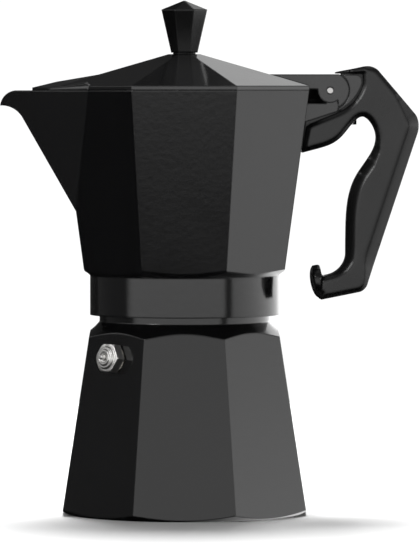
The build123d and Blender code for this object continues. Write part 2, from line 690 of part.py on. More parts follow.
with BuildPart() as knob_washer:
    with BuildSketch(Plane.XY.offset(LID_TOP_Z)):
        Circle(KNOB_FOOT_APOTHEM - 0.8)
        Circle(KNOB_SCREW_R, mode=Mode.SUBTRACT)
    extrude(amount=KNOB_WASHER_T)
finish(knob_washer.part, "knob_washer")

with BuildPart() as knob_screw:
    head_t = 2.4
    with BuildSketch(Plane.XY.offset(BOSS_Z - head_t)):
        Circle(KNOB_SCREW_R * 1.9)
    extrude(amount=head_t)
    fillet(knob_screw.edges().group_by(Axis.Z)[0], head_t / 3)
    with BuildSketch(Plane.XY.offset(BOSS_Z - head_t)):
        Rectangle(KNOB_SCREW_R * 5, 1.0)
    extrude(amount=head_t / 2, mode=Mode.SUBTRACT)
    with BuildSketch(Plane.XY.offset(BOSS_Z)):
        Circle(KNOB_SCREW_R)
    extrude(amount=KNOB_Z + KNOB_INSERT_H * 0.9 - BOSS_Z)
finish(knob_screw.part, "knob_screw")

# ---- handle --------------------------------------------------------------------------------------
# The outline runs from the nose over the top, down the grip and round the hook, back up the finger
# side to the arm that leans on the body, then along the saddle under the bracket.
NOSE_Z = PIN_Z + FORK_TOP + HEEL_GAP
HOOK_Z = RIM_Z - 88.6
ARM_FOOT_Z = PIN_Z - 26.4
WALL_GAP = 0.5
SADDLE_FOOT = (BLOCK_FOOT_X - 0.1, BLOCK_FOOT_Z - SADDLE_GAP)
SADDLE_MID = (BLOCK_MID[0] + SADDLE_GAP * 0.8, BLOCK_MID[1] - SADDLE_GAP * 0.8)
SADDLE_TOP = (BLOCK_END_X + SADDLE_GAP, BLOCK_HEEL[1])
NOSE_END_X = PIN_X + 2.0

# Outline's stations, from the nose round to the arm.
NOSE_STEP = 0.6
NOSE_TOP = (NOSE_END_X, NOSE_Z + NOSE_STEP)
NOSE_MID = (BLOCK_END_X - 0.5, NOSE_Z + 2.7)
CREST = (HANDLE_REACH - 20.6, NOSE_Z + 3.1)
CREST_END = (HANDLE_REACH - 17.2, NOSE_Z + 1.4)
KNEE_TOP = (HANDLE_REACH - 1.0, PIN_Z - 10.4)
KNEE = (HANDLE_REACH, PIN_Z - 14.1)
KNEE_END = (HANDLE_REACH - 0.4, PIN_Z - 17.9)
GRIP_END = (HANDLE_REACH - 21.3, HOOK_Z + 7.8)
GRIP_CORNER = (HANDLE_REACH - 22.3, HOOK_Z + 5.3)
HOOK_START = (HANDLE_REACH - 24.7, HOOK_Z + 3.4)
HOOK_TIP = (HANDLE_REACH - 41.6, HOOK_Z)
HOOK_INNER = (HANDLE_REACH - 40.6, HOOK_Z + 10.1)
HOOK_BEND = (HANDLE_REACH - 33.6, HOOK_Z + 13.0)
FINGER_FOOT = (HANDLE_REACH - 30.8, HOOK_Z + 18.6)
FINGER_LOW = (HANDLE_REACH - 30.7, HOOK_Z + 30.4)
FINGER_MID = (HANDLE_REACH - 26.1, HOOK_Z + 52.7)
FINGER_TOP = (HANDLE_REACH - 18.3, PIN_Z - 17.0)
FINGER_ARCH = (HANDLE_REACH - 23.4, PIN_Z - 11.0)
ARM_UNDER = (HANDLE_REACH - 31.5, PIN_Z - 18.1)
ARM_FOOT = (body_apothem(ARM_FOOT_Z) + WALL_GAP, ARM_FOOT_Z)
NOSE_RISE = 0.22
CREST_FALL = -1.12
ARM_LEAN = -0.28
PAD_CENTRE = (HANDLE_REACH - 45.6, 0, HOOK_Z + 7.1)
PAD_LEAN = 0.19
EAR_SWING_GAP = 1.4
HANDLE_HOLE_CLEARANCE = 0.2
HANDLE_RECESS_CLEARANCE = 0.3
HANDLE_SCREW_SEAT_Z = BLOCK_FOOT_Z - 3.6
HANDLE_SCREW_L = 14.0

with BuildPart() as handle:
    with BuildSketch(Plane.XZ):
        with BuildLine():
            Line((NOSE_END_X, NOSE_Z), NOSE_TOP)
            Spline(NOSE_TOP, NOSE_MID, CREST, CREST_END, tangents=((1, NOSE_RISE), (1, CREST_FALL)))
            Line(CREST_END, KNEE_TOP)
            ThreePointArc(KNEE_TOP, KNEE, KNEE_END)
            Line(KNEE_END, GRIP_END)
            ThreePointArc(GRIP_END, GRIP_CORNER, HOOK_START)
            Polyline(HOOK_START, HOOK_TIP, HOOK_INNER)
            ThreePointArc(HOOK_INNER, HOOK_BEND, FINGER_FOOT)
            Spline(
                FINGER_FOOT,
                FINGER_LOW,
                FINGER_MID,
                FINGER_TOP,
                FINGER_ARCH,
                ARM_UNDER,
                ARM_FOOT,
                tangents=((0, 1), (-1, ARM_LEAN)),
            )
            Polyline(
                ARM_FOOT,
                (body_apothem(WEB_FOOT_Z) + 2 * WALL_GAP, WEB_FOOT_Z - 2 * SADDLE_GAP),
                (body_apothem(WEB_FOOT_Z) + 5 * WALL_GAP, WEB_FOOT_Z),
                SADDLE_FOOT,
            )
            ThreePointArc(SADDLE_FOOT, SADDLE_MID, SADDLE_TOP)
            Polyline(SADDLE_TOP, (SADDLE_TOP[0], NOSE_Z), (NOSE_END_X, NOSE_Z))
        make_face()
    extrude(amount=HANDLE_W / 2, both=True)
    # The nose is narrow so that the fork's ears swing past it.
    ear_swing_r = FORK_TOP + EAR_SWING_GAP
    for side in (-1, 1):
        with BuildSketch(Plane.XY.offset(NOSE_Z - 1)):
            with Locations((PIN_X, side * (HANDLE_NOSE_W + HANDLE_W) / 2)):
                Rectangle(2 * ear_swing_r, HANDLE_W)
        extrude(amount=HANDLE_W, mode=Mode.SUBTRACT)
    # Pad at the end of the hook.
    with BuildSketch(Plane(origin=PAD_CENTRE, z_dir=(1, 0, PAD_LEAN))):
        Circle(PAD_R)
    extrude(amount=PAD_T)
    # Screw hole and the recess for its head, from the finger side.
    with BuildSketch(Plane.XY.offset(HANDLE_SCREW_SEAT_Z - SADDLE_GAP)):
        with Locations((HANDLE_SCREW_X, 0)):
            Circle(HANDLE_SCREW_R + HANDLE_HOLE_CLEARANCE)
    extrude(amount=HANDLE_SCREW_L, mode=Mode.SUBTRACT)
    with BuildSketch(Plane.XY.offset(HANDLE_SCREW_SEAT_Z)):
        with Locations((HANDLE_SCREW_X, 0)):
            Circle(HANDLE_SCREW_HEAD_R + HANDLE_RECESS_CLEARANCE)
    extrude(amount=-HANDLE_SCREW_L, mode=Mode.SUBTRACT)
finish(handle.part, "handle")

with BuildPart() as handle_screw:
    with BuildSketch(Plane.XY.offset(HANDLE_SCREW_SEAT_Z - HANDLE_SCREW_HEAD_T)):
        with Locations((HANDLE_SCREW_X, 0)):
            Circle(HANDLE_SCREW_HEAD_R)
    extrude(amount=HANDLE_SCREW_HEAD_T)
    with BuildSketch(Plane.XY.offset(HANDLE_SCREW_SEAT_Z)):
        with Locations((HANDLE_SCREW_X, 0)):
            Circle(HANDLE_SCREW_R)
    extrude(amount=HANDLE_SCREW_L)
finish(handle_screw.part, "handle_screw")
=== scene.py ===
import math

import bmesh
import bpy
from mathutils import Matrix, Vector
from mathutils.kdtree import KDTree


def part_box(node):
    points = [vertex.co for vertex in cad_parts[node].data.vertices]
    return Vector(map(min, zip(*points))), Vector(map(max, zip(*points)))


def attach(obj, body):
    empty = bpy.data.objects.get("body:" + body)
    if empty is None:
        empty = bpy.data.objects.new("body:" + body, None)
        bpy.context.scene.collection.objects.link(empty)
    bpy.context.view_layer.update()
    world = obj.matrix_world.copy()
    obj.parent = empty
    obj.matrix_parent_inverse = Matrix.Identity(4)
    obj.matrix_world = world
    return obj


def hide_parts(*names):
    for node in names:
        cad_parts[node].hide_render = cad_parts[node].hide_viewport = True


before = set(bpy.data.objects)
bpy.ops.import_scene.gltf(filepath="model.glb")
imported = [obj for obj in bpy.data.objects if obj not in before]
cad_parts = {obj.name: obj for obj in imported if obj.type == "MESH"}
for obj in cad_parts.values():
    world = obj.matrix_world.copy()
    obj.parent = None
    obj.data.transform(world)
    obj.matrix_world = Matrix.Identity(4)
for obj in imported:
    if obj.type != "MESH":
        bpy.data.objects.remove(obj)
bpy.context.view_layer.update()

bl_info = {
    "name": "Stovetop coffee pot",
    "version": (1, 0, 0),
    "blender": (4, 5, 0),
    "location": "View3D > Sidebar > Coffee pot",
    "description": "Finishes, stage and detailed pieces for an eight-sided stovetop coffee pot",
    "category": "Object",
}

MM = 0.001


# ---- settings a user would change ----------------------------------------------------------------
def colour(name, description, value):
    return bpy.props.FloatVectorProperty(
        name=name, description=description, subtype="COLOR", size=4, default=value + (1,), min=0, max=1)


def length(name, description, value):
    return bpy.props.FloatProperty(name=name, description=description, default=value, unit="LENGTH")


def power(name, description, value):
    return bpy.props.FloatProperty(name=name, description=description, default=value, min=0, unit="POWER")


class PotColours(bpy.types.PropertyGroup):
    enamel: colour("Enamel", "Colour of the black paint", (0.003, 0.003, 0.0032))
    plastic: colour("Plastic", "Colour of the handle and knob", (0.002, 0.002, 0.0021))
    bare_metal: colour("Bare aluminium", "Colour of the uncoated aluminium", (0.72, 0.72, 0.71))
    steel: colour("Steel", "Colour of the bare steel", (0.62, 0.61, 0.6))
    plated: colour("Plating", "Colour of the nickel on the safety valve", (0.86, 0.85, 0.83))
    brass: colour("Brass", "Colour of the threaded insert", (0.7, 0.48, 0.2))
    rubber: colour("Rubber", "Colour of the seals", (0.78, 0.74, 0.66))


class PotSizes(bpy.types.PropertyGroup):
    lug_radius: length("Lug radius", "Radius of the hinge lug between the fork's ears", 8.1 * MM)
    lug_half_width: length("Lug half width", "Half the hinge lug's width at its middle", 3.5 * MM)
    tongue_half_width: length("Tongue half width", "Half the width of the handle's tongue", 2.6 * MM)
    nut_half_across: length("Valve nut", "Half the safety valve's width across its flats", 5.8 * MM)


class PotStage(bpy.types.PropertyGroup):
    eye_height: length("Eye height", "Height of the camera over the floor", 0.1801)
    eye_distance: length("Eye distance", "Distance of the camera from the pot's axis", 2.121)
    aim_side: length("Aim to the side", "How far right of the axis the camera looks", 0.01065)
    aim_height: length("Aim height", "Height that the camera looks at", 0.1008)
    focal_length: bpy.props.FloatProperty(
        name="Focal length", description="Lens of the camera in millimetres", default=327.4)
    room: bpy.props.FloatProperty(
        name="Room light", description="Strength of the light all round", default=1.0, min=0)
    top_light: power("Top light", "Power of the soft light overhead", 46.0)
    side_light: power("Side light", "Power of the small light that picks out the bright fittings", 2.5)
    floor_radius: length("Floor radius", "Radius of the round floor", 0.75)


# ---- node trees ----------------------------------------------------------------------------------
class Tree:
    """Adds nodes to a node tree and links them by name."""

    def __init__(self, tree):
        self.tree = tree
        self.tree.nodes.clear()

    def add(self, kind, links=None, **values):
        node = self.tree.nodes.new(kind)
        for name, value in values.items():
            setattr(node, name, value)
        for socket, source in (links or {}).items():
            self.put(node, socket, source)
        return node

    def put(self, node, socket, source):
        """Links a socket to another node's output, or sets it to a plain value."""
        if isinstance(source, bpy.types.NodeSocket):
            self.tree.links.new(source, node.inputs[socket])
        else:
            node.inputs[socket].default_value = source

    def maths(self, operation, first, second, clamp=False):
        node = self.add("ShaderNodeMath", {0: first, 1: second}, operation=operation, use_clamp=clamp)
        return node.outputs[0]

    def spread(self, value, low, high, new_low=0.0, new_high=1.0):
        """A smooth step from new_low to new_high as the value goes from low to high."""
        node = self.add("ShaderNodeMapRange", {
            "Value": value, "From Min": low, "From Max": high, "To Min": new_low, "To Max": new_high,
        }, interpolation_type="SMOOTHSTEP")
        return node.outputs["Result"]

    def ramp(self, value, stops):
        """Straight-line steps of grey through (place, level) stops."""
        node = self.add("ShaderNodeValToRGB", {"Fac": value})
        ramp = node.color_ramp
        while len(ramp.elements) > 1:
            ramp.elements.remove(ramp.elements[-1])
        ramp.elements[0].position = stops[0][0]
        ramp.elements[0].color = (stops[0][1],) * 3 + (1,)
        for place, level in stops[1:]:
            ramp.elements.new(place).color = (level,) * 3 + (1,)
        return node.outputs["Color"]

    def blend(self, amount, first, second):
        node = self.add("ShaderNodeMix", {0: amount, 6: first, 7: second}, data_type="RGBA")
        return node.outputs[2]

    def noise(self, scale, **values):
        """Noise over the object's own coordinates."""
        place = self.add("ShaderNodeTexCoord").outputs["Object"]
        return self.add("ShaderNodeTexNoise", {"Vector": place, "Scale": scale, **values}).outputs["Fac"]

    def place_group(self, tree, **values):
        """Places a node group; the names of its inputs are given with underscores for spaces."""
        node = self.add("ShaderNodeGroup", node_tree=tree)
        for name, value in values.items():
            node.inputs[name.replace("_", " ")].default_value = value
        return node


FLOAT = "NodeSocketFloat"
VECTOR = "NodeSocketVector"


def group(name, inputs, outputs):
    """An empty node group with named sockets: its tree, tree helper, and input and output nodes."""
    tree = bpy.data.node_groups.new(name, "ShaderNodeTree")
    for label, value in inputs:
        tree.interface.new_socket(label, in_out="INPUT", socket_type=FLOAT).default_value = value
    for label, kind in outputs:
        tree.interface.new_socket(label, in_out="OUTPUT", socket_type=kind)
    helper = Tree(tree)
    return tree, helper, helper.add("NodeGroupInput"), helper.add("NodeGroupOutput")


def soft_edge_group():
    """Rounds the shading of sharp edges, and says where they are and where they are rubbed."""
    tree, t, given, made = group(
        "soft edges", [("Radius", 0.6 * MM), ("Patchiness", 260.0)],
        [("Normal", VECTOR), ("Edge", FLOAT), ("Worn", FLOAT)])
    bevel = t.add("ShaderNodeBevel", {"Radius": given.outputs["Radius"]}, samples=6)
    true = t.add("ShaderNodeNewGeometry").outputs["Normal"]
    dot = t.add("ShaderNodeVectorMath", {0: bevel.outputs[0], 1: true}, operation="DOT_PRODUCT")
    turn = t.maths("SUBTRACT", 1.0, dot.outputs["Value"], clamp=True)
    edge = t.spread(turn, 0.004, 0.08)
    patches = t.noise(given.outputs["Patchiness"], Detail=4.0, Roughness=0.6)
    worn = t.maths("MULTIPLY", t.spread(turn, 0.02, 0.16), t.spread(patches, 0.55, 0.75))
    t.put(made, "Normal", bevel.outputs[0])
    t.put(made, "Edge", edge)
    t.put(made, "Worn", worn)
    return tree


def grain_group():
    """Fine surface relief: soft orange peel with a finer grain over it."""
    tree, t, given, made = group(
        "fine grain", [("Peel size", 500.0), ("Grain size", 4000.0), ("Grain share", 0.3)],
        [("Height", FLOAT)])
    peel = t.noise(given.outputs["Peel size"], Detail=1.0)
    grain = t.noise(given.outputs["Grain size"], Detail=2.0)
    share = t.maths("MULTIPLY", grain, given.outputs["Grain share"])
    t.put(made, "Height", t.maths("ADD", peel, share))
    return tree


def handling_group():
    """Uneven gloss from wiping and finger marks, and a little settled dust."""
    tree, t, given, made = group(
        "handling", [("Low", 0.1), ("High", 0.2), ("Size", 30.0)], [("Gloss", FLOAT), ("Dust", FLOAT)])
    smears = t.noise(given.outputs["Size"], Detail=5.0, Roughness=0.55, Distortion=0.4)
    gloss = t.add("ShaderNodeMapRange", {
        "Value": smears, "From Min": 0.3, "From Max": 0.7,
        "To Min": given.outputs["Low"], "To Max": given.outputs["High"]})
    t.put(made, "Gloss", gloss.outputs["Result"])
    normal = t.add("ShaderNodeNewGeometry").outputs["Normal"]
    facing_up = t.add("ShaderNodeSeparateXYZ", {0: normal}).outputs["Z"]
    specks = t.noise(1400.0, Detail=3.0)
    dust = t.maths("MULTIPLY", t.spread(facing_up, 0.7, 1.0), t.spread(specks, 0.62, 0.8))
    t.put(made, "Dust", dust)
    return tree


def turning_group():
    """Rings left by turning about the pot's axis, as relief and as fine streaks."""
    tree, t, given, made = group(
        "turning marks", [("Rings", 1800.0)], [("Height", FLOAT), ("Streak", FLOAT)])
    place = t.add("ShaderNodeTexCoord").outputs["Object"]
    split = t.add("ShaderNodeSeparateXYZ", {0: place})
    flat = t.add("ShaderNodeCombineXYZ", {"X": split.outputs["X"], "Y": split.outputs["Y"], "Z": 0.0})
    out = t.add("ShaderNodeVectorMath", {0: flat.outputs[0]}, operation="LENGTH").outputs["Value"]
    along = t.maths("ADD", out, split.outputs["Z"])
    rings = t.add("ShaderNodeTexNoise", {
        "W": t.maths("MULTIPLY", along, given.outputs["Rings"]), "Scale": 1.0, "Detail": 3.0,
    }, noise_dimensions="1D").outputs["Fac"]
    t.put(made, "Height", rings)
    t.put(made, "Streak", t.spread(rings, 0.35, 0.65))
    return tree


# ---- finishes ------------------------------------------------------------------------------------
DUST_COLOUR = (0.5, 0.48, 0.45, 1)
DUST_AMOUNT = 0.02
EDGE_DULLING = 0.05
SHADE_OF_STREAKS = 0.8
STAIN = 0.75

FINISH_OF = {
    "boiler": "enamel", "collector": "enamel", "lid": "enamel",
    "knob": "plastic", "knob_washer": "plastic", "handle": "plastic",
    "valve_body": "plated steel", "valve_cap": "plated steel", "valve_poppet": "plated steel",
    "valve_spring": "bare steel", "knob_screw": "bare steel",
    "hinge_pin": "bare steel", "handle_screw": "bare steel",
    "knob_insert": "brass",
    "funnel": "bare aluminium", "funnel_disc": "bare aluminium",
    "filter_plate": "bare aluminium", "column": "bare aluminium",
    "valve_washer": "rubber", "gasket": "rubber",
}


def material(name):
    made = bpy.data.materials.new(name)
    made.use_nodes = True
    tree = Tree(made.node_tree)
    shader = tree.add("ShaderNodeBsdfPrincipled")
    tree.add("ShaderNodeOutputMaterial", {"Surface": shader.outputs[0]})
    return made, tree, shader


def darker(value, share):
    return tuple(c * share for c in value[:3]) + (1,)


def bumped(t, shader, height, depth, normal=None):
    """Puts relief of a depth, over a rounded normal where there is one, into the shader."""
    bump = t.add("ShaderNodeBump", {"Height": height, "Strength": 1.0, "Distance": depth})
    if normal:
        t.put(bump, "Normal", normal)
    t.put(shader, "Normal", bump.outputs[0])


def coated(name, value, gloss, groups, edge_radius, peel, depth, worn_colour, ior):
    """A black coat or moulding: orange peel, rubbed edges, smears and a trace of dust."""
    made, t, shader = material(name)
    edges = t.place_group(groups["edges"], Radius=edge_radius)
    grain = t.place_group(groups["grain"], Peel_size=peel)
    use = t.place_group(groups["handling"], Low=gloss[0], High=gloss[1])
    worn = t.blend(edges.outputs["Worn"], value, worn_colour)
    dust = t.maths("MULTIPLY", use.outputs["Dust"], DUST_AMOUNT)
    t.put(shader, "Base Color", t.blend(dust, worn, DUST_COLOUR))
    dulled = t.maths("MULTIPLY", edges.outputs["Edge"], EDGE_DULLING)
    t.put(shader, "Roughness", t.maths("ADD", use.outputs["Gloss"], dulled))
    bumped(t, shader, grain.outputs["Height"], depth, edges.outputs["Normal"])
    shader.inputs["IOR"].default_value = ior


def metal(name, value, gloss, groups, rings, depth):
    """Bare or plated metal with turning marks."""
    made, t, shader = material(name)
    edges = t.place_group(groups["edges"], Radius=0.3 * MM)
    marks = t.place_group(groups["turning"], Rings=rings)
    use = t.place_group(groups["handling"], Low=gloss[0], High=gloss[1])
    t.put(shader, "Base Color", t.blend(marks.outputs["Streak"], darker(value, SHADE_OF_STREAKS), value))
    t.put(shader, "Roughness", use.outputs["Gloss"])
    bumped(t, shader, marks.outputs["Height"], depth, edges.outputs["Normal"])
    shader.inputs["Metallic"].default_value = 1.0


def seal(name, value, gloss, groups, depth):
    """Soft moulded rubber, stained in its hollows."""
    made, t, shader = material(name)
    grain = t.place_group(groups["grain"])
    use = t.place_group(groups["handling"], Low=gloss[0], High=gloss[1])
    hollows = t.spread(grain.outputs["Height"], 0.5, 0.8)
    t.put(shader, "Base Color", t.blend(hollows, darker(value, STAIN), value))
    t.put(shader, "Roughness", use.outputs["Gloss"])
    bumped(t, shader, grain.outputs["Height"], depth)


class POT_OT_finishes(bpy.types.Operator):
    """Makes the finishes and puts one on each part of the frame"""
    bl_idname = "pot.finishes"
    bl_label = "Finishes"

    def execute(self, context):
        colours = context.scene.pot_colours
        groups = {"edges": soft_edge_group(), "grain": grain_group(),
                  "handling": handling_group(), "turning": turning_group()}
        coated("enamel", tuple(colours.enamel), (0.10, 0.15), groups, edge_radius=0.9 * MM,
               peel=420.0, depth=0.012 * MM, worn_colour=(0.05, 0.05, 0.05, 1), ior=1.6)
        coated("plastic", tuple(colours.plastic), (0.2, 0.3), groups, edge_radius=1.2 * MM,
               peel=900.0, depth=0.01 * MM, worn_colour=(0.03, 0.03, 0.03, 1), ior=1.5)
        metal("plated steel", tuple(colours.plated), (0.28, 0.4), groups, rings=3500.0, depth=0.006 * MM)
        metal("bare steel", tuple(colours.steel), (0.25, 0.35), groups, rings=3500.0, depth=0.01 * MM)
        metal("brass", tuple(colours.brass), (0.25, 0.35), groups, rings=3500.0, depth=0.01 * MM)
        metal("bare aluminium", tuple(colours.bare_metal), (0.3, 0.42), groups, rings=1800.0,
              depth=0.02 * MM)
        seal("rubber", tuple(colours.rubber), (0.5, 0.7), groups, depth=0.03 * MM)
        for node, finish in FINISH_OF.items():
            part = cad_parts[node]
            part.data.materials.clear()
            part.data.materials.append(bpy.data.materials[finish])
        return {"FINISHED"}


# ---- making pieces -------------------------------------------------------------------------------
def mesh_object(name, bm):
    """Turns a bmesh into an object at the origin."""
    mesh = bpy.data.meshes.new(name)
    bm.to_mesh(mesh)
    bm.free()
    made = bpy.data.objects.new(name, mesh)
    bpy.context.scene.collection.objects.link(made)
    return made


def merged_copy(node):
    """A bmesh of a frame part with its loose triangles joined up."""
    bm = bmesh.new()
    bm.from_mesh(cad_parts[node].data)
    bmesh.ops.remove_doubles(bm, verts=bm.verts, dist=0.01 * MM)
    return bm


def piece(name, bm, body, finish, stands_for=(), smooth=35.0, weigh=True):
    """Makes the object from a bmesh, gives it its finish and hangs it on its body."""
    bmesh.ops.recalc_face_normals(bm, faces=bm.faces)
    for face in bm.faces:
        face.smooth = True
    for edge in bm.edges:
        edge.smooth = len(edge.link_faces) != 2 or edge.calc_face_angle() < math.radians(smooth)
    made = mesh_object(name, bm)
    made.data.materials.append(bpy.data.materials[finish])
    if weigh:
        made.modifiers.new("even shading", "WEIGHTED_NORMAL").keep_sharp = True
    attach(made, body)
    if stands_for:
        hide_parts(*stands_for)


def cut_flat(bm, place, facing, both_sides=False):
    """Cuts a bmesh with a plane, keeps what is behind it (or only the cut), and gives the cut's edges."""
    cut = bmesh.ops.bisect_plane(
        bm, geom=bm.verts[:] + bm.edges[:] + bm.faces[:], dist=1e-7, plane_co=place, plane_no=facing,
        clear_outer=True, clear_inner=both_sides)
    return [e for e in cut["geom_cut"] if isinstance(e, bmesh.types.BMEdge)]


def round_edges(bm, width):
    bmesh.ops.bevel(bm, geom=bm.edges[:], offset=width, segments=2, profile=0.5, affect="EDGES",
                    material=-1)


# ---- handle --------------------------------------------------------------------------------------
# Each edge is (how far in its rounding reaches, how deep it goes).
SPINE = (5.0 * MM, 3.6 * MM)
FINGER_SIDE = (4.4 * MM, 3.4 * MM)
PLAIN_EDGE = (1.6 * MM, 1.3 * MM)

# The spine lies outside a line that starts at its foot and leans out as it rises.
SPINE_FOOT = 101.5 * MM
SPINE_TOP = 183.0 * MM
SPINE_LEAST_X = 76.5 * MM
SPINE_LINE_X = 75.5 * MM
SPINE_LINE_LEAN = 0.26
FINGER_Z = (101.0 * MM, 154.0 * MM)
FINGER_X = (66.5 * MM, 84.0 * MM)

HANDLE_HALF = 9.0 * MM
OUTLINE_SIDE = 4.5 * MM  # beside the screw's hole, which would count as an edge
OUTLINE_STEP = 0.8 * MM
EDGE_CHANGE = 6 * MM  # how far one kind of edge takes to turn into another
EDGE_POINTS = 6
EDGE_FLAT = 0.2 * MM
EDGE_CURVE = 1.25
EVEN_STEP = 0.55 * MM
WELD = 0.12 * MM
SMOOTHINGS = 2
SMOOTHING = 0.35

PAD_CENTRE = Vector((56.1 * MM, 0, 98.1 * MM))
PAD_FACING = Vector((1, 0, 0.19)).normalized()
PAD_HALF = 2.75 * MM
PAD_R = 7.0 * MM * 1.02


def handle_outline():
    """Points close together round a section along the handle."""
    bm = merged_copy("handle")
    points = []
    for edge in cut_flat(bm, (0, OUTLINE_SIDE, 0), (0, 1, 0), both_sides=True):
        start, end = (v.co.copy() for v in edge.verts)
        count = max(1, int((end - start).length / OUTLINE_STEP))
        points += [start.lerp(end, i / count) for i in range(count)]
    bm.free()
    return points


def edge_kind(point):
    """Spine, finger side or plain edge, by where a point of the outline is."""
    x, z = point.x, point.z
    line_x = SPINE_LINE_X + (z - SPINE_FOOT) * SPINE_LINE_LEAN
    if SPINE_FOOT < z < SPINE_TOP and x > SPINE_LEAST_X and x > line_x:
        return SPINE
    if FINGER_Z[0] < z < FINGER_Z[1] and FINGER_X[0] < x < FINGER_X[1]:
        return FINGER_SIDE
    return PLAIN_EDGE


def average(pairs):
    return tuple(sum(pair[k] for pair in pairs) / len(pairs) for k in (0, 1))


def even_copy(node, step):
    """A bmesh of a frame part with its surface remade in even faces."""
    blank = mesh_object(node + " blank", merged_copy(node))
    remesh = blank.modifiers.new("even faces", "REMESH")
    remesh.mode = "VOXEL"
    remesh.voxel_size = step
    bpy.context.view_layer.update()
    seen = blank.evaluated_get(bpy.context.evaluated_depsgraph_get())
    even = bpy.data.meshes.new_from_object(seen)
    bpy.data.objects.remove(blank)
    bm = bmesh.new()
    bm.from_mesh(even)
    return bm


def lower_side(vert, tree, edges):
    """Brings a side's point in by how near it is to the outline, and by the kind of edge there."""
    x, y, z = vert.co
    _, _, gap = tree.find((x, 0, z))
    width, depth = average([edges[i] for _, i, _ in tree.find_n((x, 0, z), EDGE_POINTS)])
    share = min(max(gap - EDGE_FLAT, 0) / width, 1.0)
    limit = HANDLE_HALF - depth * (1 - share) ** EDGE_CURVE
    if abs(y) > limit:
        vert.co.y = math.copysign(limit, y)


def round_pad(vert):
    """Draws the flat finger rest at the handle's foot into a lens."""
    across = vert.co - PAD_CENTRE
    off = across.dot(PAD_FACING)
    out = (across - PAD_FACING * off).length
    if abs(off) < PAD_HALF and out < PAD_R:
        thin = math.sqrt(max(0.0, 1 - (out / PAD_R) ** 2))
        vert.co += PAD_FACING * off * (thin - 1) * min(1.0, (PAD_HALF - off) / PAD_HALF)


class POT_OT_handle(bpy.types.Operator):
    """Moulded handle with a broad rounded spine and a hollowed finger side"""
    bl_idname = "pot.handle"
    bl_label = "Handle"

    def execute(self, context):
        outline = handle_outline()
        kinds = [edge_kind(p) for p in outline]
        tree = KDTree(len(outline))
        for i, p in enumerate(outline):
            tree.insert((p.x, 0, p.z), i)
        tree.balance()
        edges = [average([kinds[i] for _, i, _ in tree.find_range((p.x, 0, p.z), EDGE_CHANGE)])
                 for p in outline]
        bm = even_copy("handle", EVEN_STEP)
        for vert in bm.verts:
            lower_side(vert, tree, edges)
            round_pad(vert)
        bmesh.ops.remove_doubles(bm, verts=bm.verts, dist=WELD)
        for _ in range(SMOOTHINGS):
            bmesh.ops.smooth_vert(bm, verts=bm.verts, factor=SMOOTHING,
                                  use_axis_x=True, use_axis_y=True, use_axis_z=True)
        piece("handle_moulding", bm, "collector_unit", "plastic", ["handle"],
              smooth=50.0, weigh=False)
        return {"FINISHED"}


# ---- hinge bracket's lug and the handle's tongue -------------------------------------------------
FORK_TOP_UP = 6.0 * MM  # the fork's flat top over the lid's lowest point
ROOT_SIZE = Vector((7.0, 6.6, 8.3)) * MM
ROOT_CENTRE = Vector((54.4, 0, 175.9)) * MM
ROOT_RIDGE = 0.1
ROOT_EDGE = 0.15 * MM
TONGUE_EDGE = 0.3 * MM
TONGUE_CORNERS = (
    (49.3, 153.8), (58, 157.0), (66.5, 162.0), (74, 168.8), (78.5, 173), (79, 186.6),
    (66.2, 186.6), (66.2, 175), (62.5, 169.9), (51.4, 168.9))


class POT_OT_bracket(bpy.types.Operator):
    """Lens-shaped lug between the fork's ears, and the handle's tongue that fills the bracket's back"""
    bl_idname = "pot.bracket"
    bl_label = "Bracket"

    def execute(self, context):
        sizes = context.scene.pot_sizes
        pin_low, pin_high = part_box("hinge_pin")
        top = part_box("lid")[0].z + FORK_TOP_UP
        radius = sizes.lug_radius
        bm = bmesh.new()
        bmesh.ops.create_uvsphere(bm, u_segments=64, v_segments=24, radius=radius)
        bmesh.ops.scale(bm, verts=bm.verts, vec=(1, 1, sizes.lug_half_width / radius))
        bmesh.ops.rotate(bm, verts=bm.verts, matrix=Matrix.Rotation(math.radians(90), 3, "X"))
        bmesh.ops.translate(bm, verts=bm.verts, vec=(pin_low + pin_high) / 2)
        bmesh.ops.edgeloop_fill(bm, edges=cut_flat(bm, (0, 0, top), (0, 0, 1)))
        piece("hinge_lug", bm, "collector_unit", "enamel")

        # Root of the lug: a wedge with its ridge under the rim.
        bm = bmesh.new()
        bmesh.ops.create_cube(bm, size=1.0)
        for vert in bm.verts:
            if vert.co.z < 0:
                vert.co.y *= ROOT_RIDGE
        bmesh.ops.scale(bm, verts=bm.verts, vec=ROOT_SIZE)
        bmesh.ops.translate(bm, verts=bm.verts, vec=ROOT_CENTRE)
        round_edges(bm, ROOT_EDGE)
        piece("hinge_lug_root", bm, "collector_unit", "enamel")

        half = sizes.tongue_half_width
        bm = bmesh.new()
        side = bm.faces.new([bm.verts.new((x * MM, -half, z * MM)) for x, z in TONGUE_CORNERS])
        grown = bmesh.ops.extrude_face_region(bm, geom=[side])
        moved = [v for v in grown["geom"] if isinstance(v, bmesh.types.BMVert)]
        bmesh.ops.translate(bm, verts=moved, vec=(0, 2 * half, 0))
        round_edges(bm, TONGUE_EDGE)
        piece("handle_tongue", bm, "collector_unit", "plastic")
        return {"FINISHED"}


# ---- lid's gable ---------------------------------------------------------------------------------
RIM_Z = 179.1 * MM
PROW_SUM = 74.105 * MM  # |x| + |y| along the flats that the spout carries on
CHEEK_LIFT = 0.05 * MM
CHEEK_TOP_OUT = 0.02 * MM
CHEEK_BED = -0.3 * MM
# Each end of a cheek: distance from the axis, how far its foot stands out, and its height.
CHEEK_ENDS = ((39.9 * MM, 0.45 * MM, 2.15 * MM), (56.8 * MM, 0.22 * MM, 0.97 * MM))


